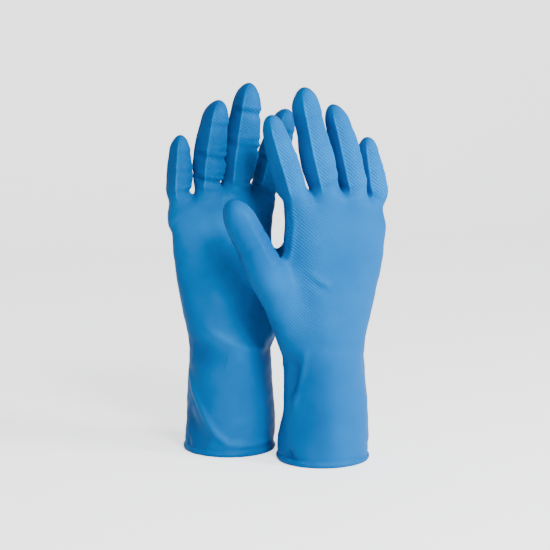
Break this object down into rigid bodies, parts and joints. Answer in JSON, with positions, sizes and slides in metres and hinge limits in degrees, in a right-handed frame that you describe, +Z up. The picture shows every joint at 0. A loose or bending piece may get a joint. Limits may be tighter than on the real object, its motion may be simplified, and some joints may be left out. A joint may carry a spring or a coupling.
{
  "type": "rubber gloves",
  "caption": "Pair of long household rubber gloves with rolled hems, flock lining and flexing wrists, thumbs and fingers, standing fingers up.",
  "frame": {"origin": "midway between the two cuffs, on the surface that the hems stand on", "axes": "+Z up along the fingers, -Y the way both palms face, +X from the right-hand glove towards the left-hand glove"},
  "size_m": [0.1657, 0.1372, 0.305],
  "materials": {
    "nitrile": "satin, with a raised grip pattern on the palm side",
    "flock": "matt cotton flock"
  },
  "bodies": {
    "left_cuff": {"left_cuff": "nitrile", "left_cuff_bead": "nitrile", "left_cuff_lining": "flock"},
    "left_hand": {"left_wrist_band": "nitrile", "left_palm": "nitrile", "left_palm_lining": "flock"},
    "left_index_base": {"left_index_root_band": "nitrile", "left_index_lower": "nitrile"},
    "left_index_end": {"left_index_bend_band": "nitrile", "left_index_tip": "nitrile"},
    "left_middle_base": {"left_middle_root_band": "nitrile", "left_middle_lower": "nitrile"},
    "left_middle_end": {"left_middle_bend_band": "nitrile", "left_middle_tip": "nitrile"},
    "left_ring_base": {"left_ring_root_band": "nitrile", "left_ring_lower": "nitrile"},
    "left_ring_end": {"left_ring_bend_band": "nitrile", "left_ring_tip": "nitrile"},
    "left_pinky_base": {"left_pinky_root_band": "nitrile", "left_pinky_lower": "nitrile"},
    "left_pinky_end": {"left_pinky_bend_band": "nitrile", "left_pinky_tip": "nitrile"},
    "left_thumb_base": {"left_thumb_root_band": "nitrile", "left_thumb_lower": "nitrile"},
    "left_thumb_end": {"left_thumb_bend_band": "nitrile", "left_thumb_tip": "nitrile"},
    "right_cuff": {"right_cuff": "nitrile", "right_cuff_bead": "nitrile", "right_cuff_lining": "flock"},
    "right_hand": {"right_wrist_band": "nitrile", "right_palm": "nitrile", "right_palm_lining": "flock"},
    "right_index_base": {"right_index_root_band": "nitrile", "right_index_lower": "nitrile"},
    "right_index_end": {"right_index_bend_band": "nitrile", "right_index_tip": "nitrile"},
    "right_middle_base": {"right_middle_root_band": "nitrile", "right_middle_lower": "nitrile"},
    "right_middle_end": {"right_middle_bend_band": "nitrile", "right_middle_tip": "nitrile"},
    "right_ring_base": {"right_ring_root_band": "nitrile", "right_ring_lower": "nitrile"},
    "right_ring_end": {"right_ring_bend_band": "nitrile", "right_ring_tip": "nitrile"},
    "right_pinky_base": {"right_pinky_root_band": "nitrile", "right_pinky_lower": "nitrile"},
    "right_pinky_end": {"right_pinky_bend_band": "nitrile", "right_pinky_tip": "nitrile"},
    "right_thumb_base": {"right_thumb_root_band": "nitrile", "right_thumb_lower": "nitrile"},
    "right_thumb_end": {"right_thumb_bend_band": "nitrile", "right_thumb_tip": "nitrile"}
  },
  "joints": [
    {"name": "left_wrist", "type": "hinge", "parent": "left_cuff", "child": "left_hand", "pos_m": [0.03, -0.03, 0.072], "axis": [1, 0, 0], "range_deg": [-8, 25], "stiffness_Nm_per_rad": 0.6, "deforming": ["left_wrist_band"]},
    {"name": "left_index_root", "type": "hinge", "parent": "left_hand", "child": "left_index_base", "pos_m": [0.0008, -0.0388, 0.2215], "axis": [0.9483, 0, 0.3173], "range_deg": [-10, 65], "stiffness_Nm_per_rad": 0.05, "deforming": ["left_index_root_band"]},
    {"name": "left_index_bend", "type": "hinge", "parent": "left_index_base", "child": "left_index_end", "pos_m": [-0.00775, -0.04068, 0.24704], "axis": [0.9483, 0, 0.3173], "range_deg": [0, 65], "stiffness_Nm_per_rad": 0.05, "deforming": ["left_index_bend_band"]},
    {"name": "left_middle_root", "type": "hinge", "parent": "left_hand", "child": "left_middle_base", "pos_m": [0.0265, -0.0418, 0.2247], "axis": [0.9636, 0, 0.2672], "range_deg": [-10, 65], "stiffness_Nm_per_rad": 0.05, "deforming": ["left_middle_root_band"]},
    {"name": "left_middle_bend", "type": "hinge", "parent": "left_middle_base", "child": "left_middle_end", "pos_m": [0.01744, -0.04417, 0.25738], "axis": [0.9636, 0, 0.2672], "range_deg": [0, 65], "stiffness_Nm_per_rad": 0.05, "deforming": ["left_middle_bend_band"]},
    {"name": "left_ring_root", "type": "hinge", "parent": "left_hand", "child": "left_ring_base", "pos_m": [0.0512, -0.0403, 0.2218], "axis": [0.9703, 0, 0.2419], "range_deg": [-10, 65], "stiffness_Nm_per_rad": 0.05, "deforming": ["left_ring_root_band"]},
    {"name": "left_ring_bend", "type": "hinge", "parent": "left_ring_base", "child": "left_ring_end", "pos_m": [0.0442, -0.04232, 0.24987], "axis": [0.9703, 0, 0.2419], "range_deg": [0, 65], "stiffness_Nm_per_rad": 0.05, "deforming": ["left_ring_bend_band"]},
    {"name": "left_pinky_root", "type": "hinge", "parent": "left_hand", "child": "left_pinky_base", "pos_m": [0.0732, -0.0343, 0.2157], "axis": [0.9816, 0, 0.1908], "range_deg": [-10, 65], "stiffness_Nm_per_rad": 0.05, "deforming": ["left_pinky_root_band"]},
    {"name": "left_pinky_bend", "type": "hinge", "parent": "left_pinky_base", "child": "left_pinky_end", "pos_m": [0.0692, -0.03576, 0.23626], "axis": [0.9816, 0, 0.1908], "range_deg": [0, 65], "stiffness_Nm_per_rad": 0.05, "deforming": ["left_pinky_bend_band"]},
    {"name": "left_thumb_root", "type": "hinge", "parent": "left_hand", "child": "left_thumb_base", "pos_m": [-0.0219, -0.0411, 0.1542], "axis": [0.887, 0, 0.4617], "range_deg": [-10, 40], "stiffness_Nm_per_rad": 0.05, "deforming": ["left_thumb_root_band"]},
    {"name": "left_thumb_bend", "type": "hinge", "parent": "left_thumb_base", "child": "left_thumb_end", "pos_m": [-0.0371, -0.0434, 0.1834], "axis": [0.887, 0, 0.4617], "range_deg": [0, 55], "stiffness_Nm_per_rad": 0.05, "deforming": ["left_thumb_bend_band"]},
    {"name": "pair_slide", "type": "slide", "parent": "left_cuff", "child": "right_cuff", "axis": [-1, 0, 0], "range_m": [0, 0.12]},
    {"name": "right_wrist", "type": "hinge", "parent": "right_cuff", "child": "right_hand", "pos_m": [-0.03, 0.03, 0.072], "axis": [1, 0, 0], "range_deg": [-25, 8], "stiffness_Nm_per_rad": 0.6, "deforming": ["right_wrist_band"]},
    {"name": "right_index_root", "type": "hinge", "parent": "right_hand", "child": "right_index_base", "pos_m": [-0.0008, 0.0212, 0.2215], "axis": [0.9613, 0, -0.2756], "range_deg": [-10, 30], "stiffness_Nm_per_rad": 0.05, "deforming": ["right_index_root_band"]},
    {"name": "right_index_bend", "type": "hinge", "parent": "right_index_base", "child": "right_index_end", "pos_m": [0.00662, 0.01932, 0.24739], "axis": [0.9613, 0, -0.2756], "range_deg": [0, 60], "stiffness_Nm_per_rad": 0.05, "deforming": ["right_index_bend_band"]},
    {"name": "right_middle_root", "type": "hinge", "parent": "right_hand", "child": "right_middle_base", "pos_m": [-0.0265, 0.0182, 0.2247], "axis": [0.9942, 0, -0.108], "range_deg": [-10, 30], "stiffness_Nm_per_rad": 0.05, "deforming": ["right_middle_root_band"]},
    {"name": "right_middle_bend", "type": "hinge", "parent": "right_middle_base", "child": "right_middle_end", "pos_m": [-0.02284, 0.01583, 0.25842], "axis": [0.9942, 0, -0.108], "range_deg": [0, 65], "stiffness_Nm_per_rad": 0.05, "deforming": ["right_middle_bend_band"]},
    {"name": "right_ring_root", "type": "hinge", "parent": "right_hand", "child": "right_ring_base", "pos_m": [-0.0512, 0.0197, 0.2218], "axis": [0.9962, 0, -0.0872], "range_deg": [-10, 65], "stiffness_Nm_per_rad": 0.05, "deforming": ["right_ring_root_band"]},
    {"name": "right_ring_bend", "type": "hinge", "parent": "right_ring_base", "child": "right_ring_end", "pos_m": [-0.04868, 0.01768, 0.25062], "axis": [0.9962, 0, -0.0872], "range_deg": [0, 65], "stiffness_Nm_per_rad": 0.05, "deforming": ["right_ring_bend_band"]},
    {"name": "right_pinky_root", "type": "hinge", "parent": "right_hand", "child": "right_pinky_base", "pos_m": [-0.0732, 0.0257, 0.2157], "axis": [1, 0, -0.0087], "range_deg": [-10, 65], "stiffness_Nm_per_rad": 0.05, "deforming": ["right_pinky_root_band"]},
    {"name": "right_pinky_bend", "type": "hinge", "parent": "right_pinky_base", "child": "right_pinky_end", "pos_m": [-0.07302, 0.02424, 0.23665], "axis": [1, 0, -0.0087], "range_deg": [0, 65], "stiffness_Nm_per_rad": 0.05, "deforming": ["right_pinky_bend_band"]},
    {"name": "right_thumb_root", "type": "hinge", "parent": "right_hand", "child": "right_thumb_base", "pos_m": [0.0219, 0.0189, 0.1542], "axis": [0.887, 0, -0.4617], "range_deg": [-10, 12], "stiffness_Nm_per_rad": 0.05, "deforming": ["right_thumb_root_band"]},
    {"name": "right_thumb_bend", "type": "hinge", "parent": "right_thumb_base", "child": "right_thumb_end", "pos_m": [0.0371, 0.0166, 0.1834], "axis": [0.887, 0, -0.4617], "range_deg": [0, 28], "stiffness_Nm_per_rad": 0.05, "deforming": ["right_thumb_bend_band"]}
  ]
}
